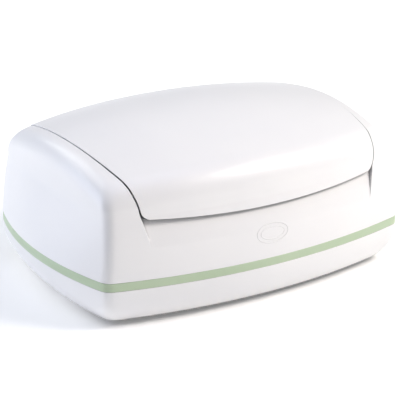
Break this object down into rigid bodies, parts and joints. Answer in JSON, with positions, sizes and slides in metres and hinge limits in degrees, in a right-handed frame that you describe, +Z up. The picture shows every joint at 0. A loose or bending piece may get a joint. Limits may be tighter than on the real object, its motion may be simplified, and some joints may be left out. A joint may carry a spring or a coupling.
{
  "type": "baby wipe warmer",
  "caption": "Countertop warmer for baby wipes: bulged plastic housing with a trim band, rear-hinged lid with a finger recess, heated wipe tub inside.",
  "frame": {"origin": "centre of the footprint, on the surface that the rubber feet stand on", "axes": "+Z up, front with the lid's lip is -Y, lid hinge and power inlet at the rear (+Y), +X to the right seen from the front"},
  "size_m": [0.29, 0.2132, 0.1301],
  "materials": {
    "white_shell": "soft gloss moulded",
    "white_inner": "satin moulded",
    "green_band": "satin moulded",
    "tub_plastic": "soft gloss moulded",
    "silicone": "silicone rubber",
    "rubber": "matt rubber",
    "steel": "zinc plated",
    "aluminium": "rolled sheet",
    "amber_film": "polyimide film",
    "foam": "felt",
    "green_foam": "open foam",
    "grey_plastic": "moulded",
    "black_plastic": "moulded",
    "ceramic": "ceramic",
    "board_green": "coated laminate",
    "brass": "plated",
    "red_wire": "insulation",
    "yellow_wire": "insulation",
    "black_wire": "insulation"
  },
  "bodies": {
    "housing": {"base_shell": "white_shell", "trim_band": "green_band", "upper_shell": "white_shell", "hinge_brackets": "white_inner", "bracket_screws": "steel", "hinge_pins": "steel", "wipe_tub": "tub_plastic", "tub_gasket": "silicone", "tub_screws": "steel", "moisture_pad": "green_foam", "heater_plate": "aluminium", "heater_film": "amber_film", "insulation_pad": "foam", "heater_tray": "grey_plastic", "tray_screws": "steel", "thermostat": "black_plastic", "thermal_fuse": "ceramic", "circuit_board": "board_green", "board_parts": "black_plastic", "board_screws": "steel", "inlet_jack": "black_plastic", "jack_pin": "brass", "jack_nut": "steel", "heater_leads": "red_wire", "sensor_leads": "yellow_wire", "jack_leads": "black_wire", "housing_screws": "steel", "rubber_feet": "rubber"},
    "lid": {"lid_outer": "white_shell", "lid_inner": "white_inner", "lid_seal": "silicone", "lid_bumpers": "rubber", "lid_screws": "steel"}
  },
  "joints": [
    {"name": "lid_hinge", "type": "hinge", "parent": "housing", "child": "lid", "pos_m": [0, 0.09992, 0.0895], "axis": [-1, 0, 0], "range_deg": [0, 100]}
  ]
}
